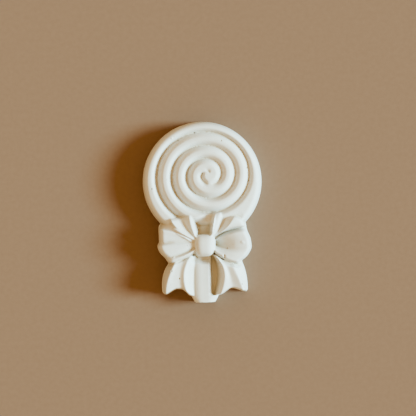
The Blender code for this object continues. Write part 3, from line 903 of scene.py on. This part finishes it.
def scaled(tree, source, sources, targets):
    """The source's values, stretched from one range to another and held inside it."""
    node = tree.nodes.new("ShaderNodeMapRange")
    for name, value in zip(("From Min", "From Max", "To Min", "To Max"), sources + targets):
        node.inputs[name].default_value = value
    tree.links.new(source, node.inputs["Value"])
    return node.outputs["Result"]


def blended(tree, share, under, over):
    """One colour over another, by a share."""
    node = tree.nodes.new("ShaderNodeMix")
    node.data_type = "RGBA"
    tree.links.new(share, node.inputs["Factor"])
    for name, colour in (("A", under), ("B", over)):
        if isinstance(colour, tuple):
            node.inputs[name].default_value = colour
        else:
            tree.links.new(colour, node.inputs[name])
    return node.outputs["Result"]


def bumps(tree, height, relief, under=None):
    """Adds relief to the shading, by its depth in millimetres and its strength."""
    depth_mm, strength = relief
    node = tree.nodes.new("ShaderNodeBump")
    node.inputs["Strength"].default_value = strength
    node.inputs["Distance"].default_value = depth_mm * MM
    tree.links.new(height, node.inputs["Height"])
    if under is not None:
        tree.links.new(under, node.inputs["Normal"])
    return node.outputs["Normal"]


def finish_plaster(material):
    material.use_nodes = True
    tree = material.node_tree
    shader = tree.nodes["Principled BSDF"]
    place = tree.nodes.new("ShaderNodeTexCoord").outputs["Object"]
    clouds = scaled(tree, noise(tree, place, CLOUD_LUMPS), CLOUD_RANGE, (0.0, 1.0))
    white = blended(tree, clouds, PLASTER_WHITE, PLASTER_CLOUD)
    depth = tree.nodes.new("ShaderNodeAttribute")
    depth.attribute_name = "hollow"
    # painted shade: the deeper a corner lies, the more of the warm tan it gets, in place of the shadow
    # there
    deep = scaled(tree, depth.outputs["Fac"], HOLLOW_RANGE, PAINTED_SHADE_SHARES)
    with_painted_shade = blended(tree, deep, white, PLASTER_PAINTED_SHADE)
    grit = tree.nodes.new("ShaderNodeTexVoronoi")
    grit.inputs["Scale"].default_value = 1.0 / (SPECK_SPACING * MM)
    tree.links.new(place, grit.inputs["Vector"])
    speck = scaled(tree, grit.outputs["Distance"], SPECK_RANGE, SPECK_SHARES)
    tree.links.new(blended(tree, speck, with_painted_shade, PLASTER_SPECK), shader.inputs["Base Color"])
    chalk = noise(tree, place, CHALK_LUMPS)
    tree.links.new(scaled(tree, chalk, CHALK_RANGE, ROUGHNESSES), shader.inputs["Roughness"])
    shader.inputs["Specular IOR Level"].default_value = SPECULAR
    waves = bumps(tree, noise(tree, place, WAVE_LUMPS), WAVE_RELIEF)
    grain = bumps(tree, noise(tree, place, GRAIN_LUMPS), GRAIN_RELIEF, waves)
    tree.links.new(grain, shader.inputs["Normal"])
    print(material.name, "has", len(tree.nodes), "nodes")


finish_plaster(plaster)

# %% [markdown]
# The cast is done. It is shrunk to metres and shaded smooth, except along edges sharper than 60
# degrees, such as the rim of the flat back, which stay crisp.

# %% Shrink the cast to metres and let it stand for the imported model
SHARP_ANGLE = math.radians(60.0)

casting.transform(Matrix.Scale(MM, 4))
casting.shade_smooth()
casting.set_sharp_from_angle(angle=SHARP_ANGLE)
casting.materials.clear()
casting.materials.append(plaster)
lollipop = bpy.data.objects.new("lollipop_cast", casting)
bpy.context.scene.collection.objects.link(lollipop)
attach(lollipop, "root")
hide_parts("lollipop")
print(lollipop.name, "has", len(casting.polygons), "faces")

# %% [markdown]
# The piece lies on a plain warm board, painted in a pale sand colour with the faintest grain. A plane
# is all it takes. It matters more than it seems: the light it throws back is what warms the shaded
# sides of the white folds.

# %% The floor
FLOOR_COLOUR = (0.270, 0.174, 0.120, 1.0)
FLOOR_GRAIN = (0.258, 0.165, 0.113, 1.0)
FLOOR_LUMPS = (1.5, 5.0)
FLOOR_GRAIN_RANGE = (0.3, 0.7)
FLOOR_ROUGHNESS = 0.9
FLOOR_HALF = 1.5


def lay_floor():
    mesh = bpy.data.meshes.new("floor")
    corners = [(-1, -1), (1, -1), (1, 1), (-1, 1)]
    mesh.from_pydata([(x * FLOOR_HALF, y * FLOOR_HALF, 0.0) for x, y in corners], [], [(0, 1, 2, 3)])
    paint = bpy.data.materials.new("sand coloured board")
    paint.use_nodes = True
    tree = paint.node_tree
    shader = tree.nodes["Principled BSDF"]
    place = tree.nodes.new("ShaderNodeTexCoord").outputs["Object"]
    grain = scaled(tree, noise(tree, place, FLOOR_LUMPS), FLOOR_GRAIN_RANGE, (0.0, 1.0))
    tree.links.new(blended(tree, grain, FLOOR_COLOUR, FLOOR_GRAIN), shader.inputs["Base Color"])
    shader.inputs["Roughness"].default_value = FLOOR_ROUGHNESS
    mesh.materials.append(paint)
    floor = bpy.data.objects.new("floor", mesh)
    bpy.context.scene.collection.objects.link(floor)
    print(floor.name, "is", 2.0 * FLOOR_HALF, "m wide")


lay_floor()

# %% [markdown]
# The photograph was taken from straight above, in soft cool light that comes in low from the right. A
# sun lamp with a wide disc does the same as a large window far away, and a plain warm world stands for
# the room, which lights what the window doesn't reach.

# %% The light
LIGHT_ELEVATION = math.radians(26.8)
LIGHT_WIDTH = math.radians(19.0)
LIGHT_COLOUR = (0.503, 0.862, 1.0)
LIGHT_STRENGTH = 5.8
FILL_COLOUR = (1.0, 0.73, 0.415, 1.0)
FILL_STRENGTH = 0.755


def light_the_scene():
    lamp = bpy.data.lights.new("window", "SUN")
    lamp.color = LIGHT_COLOUR
    lamp.energy = LIGHT_STRENGTH
    lamp.angle = LIGHT_WIDTH
    window = bpy.data.objects.new("window", lamp)
    window.rotation_euler = (0.0, math.pi / 2.0 - LIGHT_ELEVATION, 0.0)
    bpy.context.scene.collection.objects.link(window)
    room = bpy.data.worlds.new("room")
    room.use_nodes = True
    room.node_tree.nodes["Background"].inputs["Color"].default_value = FILL_COLOUR
    room.node_tree.nodes["Background"].inputs["Strength"].default_value = FILL_STRENGTH
    bpy.context.scene.world = room
    bpy.context.scene.view_settings.view_transform = "AgX"
    bpy.context.scene.view_settings.look = "AgX - Very High Contrast"
    print(window.name, "shines from", round(math.degrees(LIGHT_ELEVATION), 1), "degrees up")


light_the_scene()

# %% [markdown]
# The camera looks straight down from 450 mm above the middle of the relief, turned by a degree and a
# half, as the piece lies slightly askew in the photograph. Its lens is chosen so that one pixel of 416
# is a third of a millimetre.

# %% The camera
PIXELS = 416
PIXELS_PER_MM = 3.0
CAMERA_DISTANCE = 450.0
RELIEF_MIDDLE = 5.0
CAMERA_AIM = (1.76, 1.10)
CAMERA_TURN = math.radians(-1.5)
NEAREST_SEEN = 10.0


def place_camera():
    camera = bpy.data.cameras.new("camera")
    camera.lens = camera.sensor_width * CAMERA_DISTANCE * PIXELS_PER_MM / PIXELS
    camera.clip_start = NEAREST_SEEN * MM
    eye = bpy.data.objects.new("camera", camera)
    eye.location = Vector((CAMERA_AIM[0], CAMERA_AIM[1], CAMERA_DISTANCE + RELIEF_MIDDLE)) * MM
    eye.rotation_euler = (0.0, 0.0, CAMERA_TURN)
    bpy.context.scene.collection.objects.link(eye)
    bpy.context.scene.camera = eye
    print("lens", round(camera.lens, 1), "mm, from", CAMERA_DISTANCE, "mm above the middle of the relief")


place_camera()
